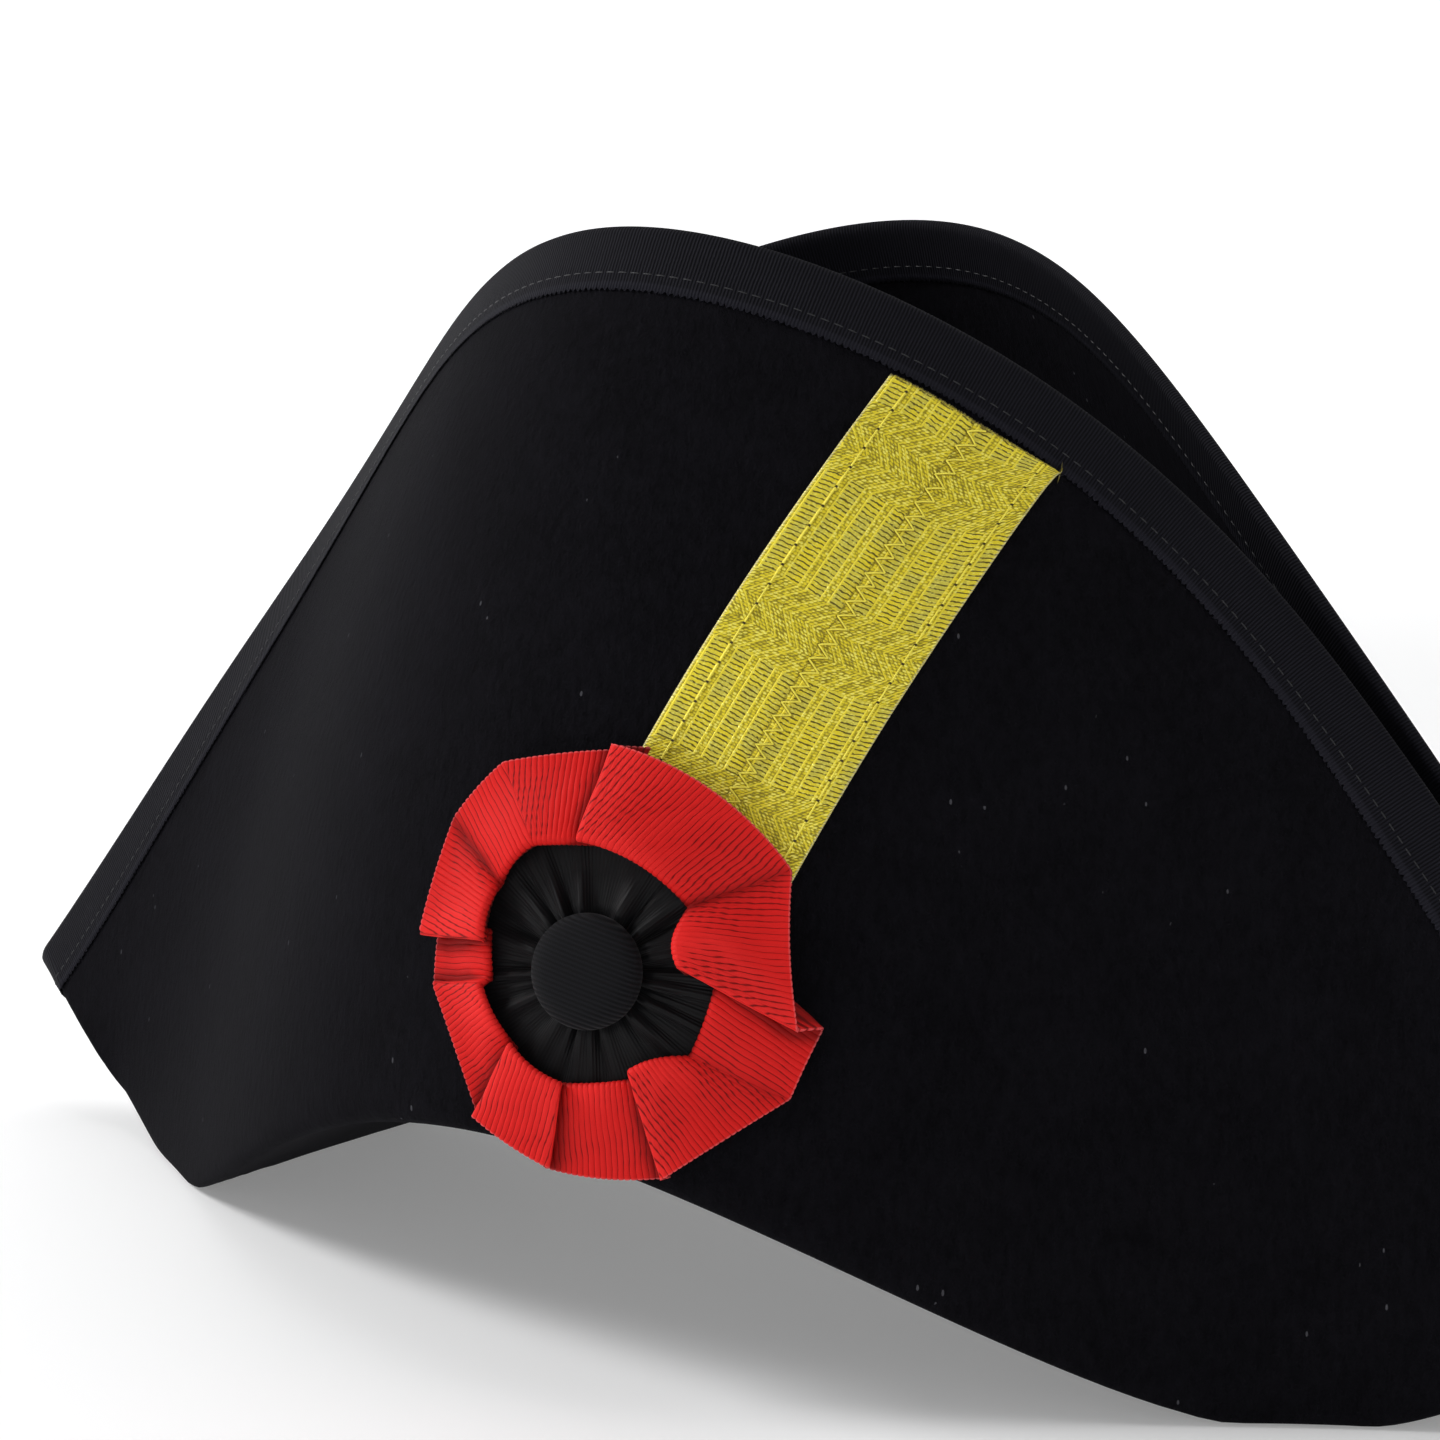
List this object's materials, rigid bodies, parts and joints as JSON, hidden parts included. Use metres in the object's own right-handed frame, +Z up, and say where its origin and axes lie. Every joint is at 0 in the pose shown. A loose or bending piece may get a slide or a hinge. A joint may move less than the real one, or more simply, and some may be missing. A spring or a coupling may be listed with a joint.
{
  "type": "bicorne hat",
  "caption": "Black felt bicorne hat with tall front and rear flaps, ribbon-bound edge, gold braid and a red and black ribbon cockade.",
  "frame": {"origin": "bottom centre of the hat's box, on the plane that it rests on, under the crown", "axes": "+X along the hat from horn to horn, -Y towards the front with the cockade, +Z up"},
  "size_m": [0.4654, 0.2312, 0.242],
  "materials": {
    "black_felt": "matt wool felt",
    "black_grosgrain": "ribbed ribbon",
    "gold_braid": "metallic woven braid",
    "red_grosgrain": "ribbed ribbon",
    "button_cloth": "twill cloth"
  },
  "bodies": {
    "root": {"felt_body": "black_felt", "brim_binding": "black_grosgrain", "gold_braid": "gold_braid", "cockade_red_ruffle": "red_grosgrain", "cockade_black_gathers": "black_grosgrain", "cockade_button": "button_cloth"}
  },
  "joints": []
}
